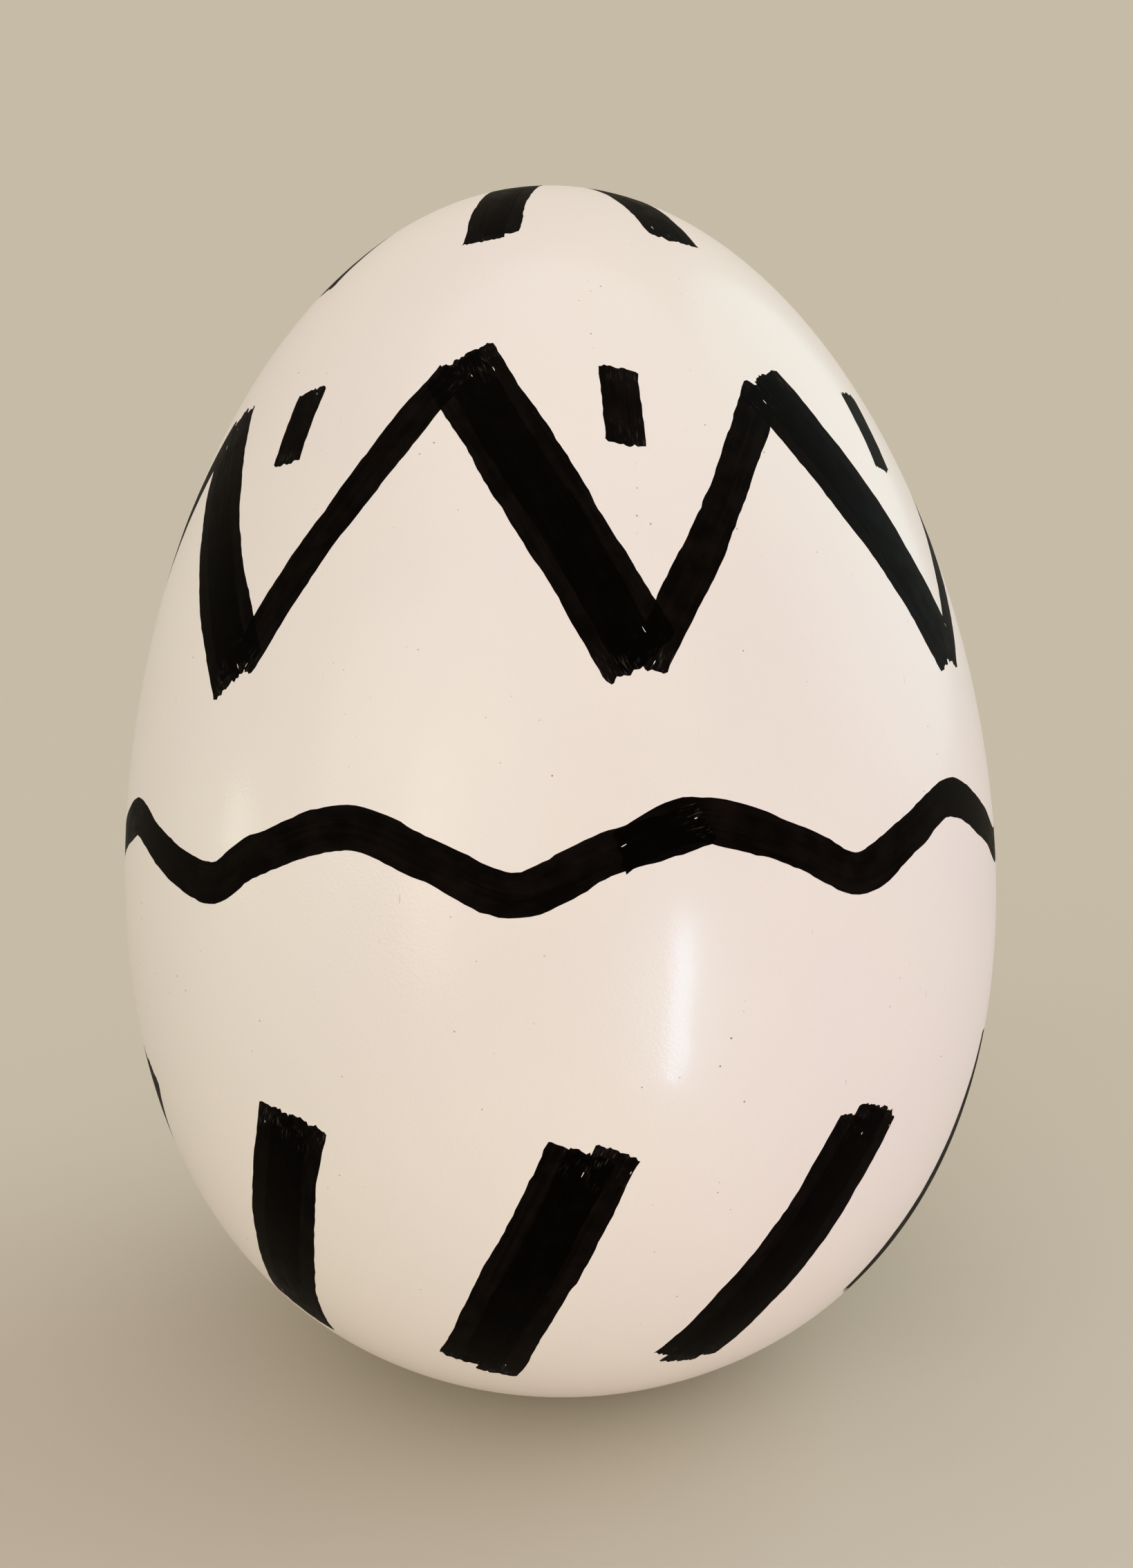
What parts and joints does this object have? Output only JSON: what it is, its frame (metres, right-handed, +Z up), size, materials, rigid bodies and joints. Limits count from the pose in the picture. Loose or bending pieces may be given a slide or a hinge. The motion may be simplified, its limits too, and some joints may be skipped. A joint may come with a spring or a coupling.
{
  "type": "decorated egg",
  "caption": "Large white egg with a satin finish, standing on its blunt end and hand-marked in black.",
  "frame": {"origin": "centre of the small flat spot under the blunt end", "axes": "+Z up along the egg's long axis, from the blunt end to the pointed end; -Y towards the picture's camera"},
  "size_m": [0.1754, 0.1754, 0.2388],
  "materials": {
    "shell": "satin"
  },
  "bodies": {
    "root": {"egg": "shell"}
  },
  "joints": []
}
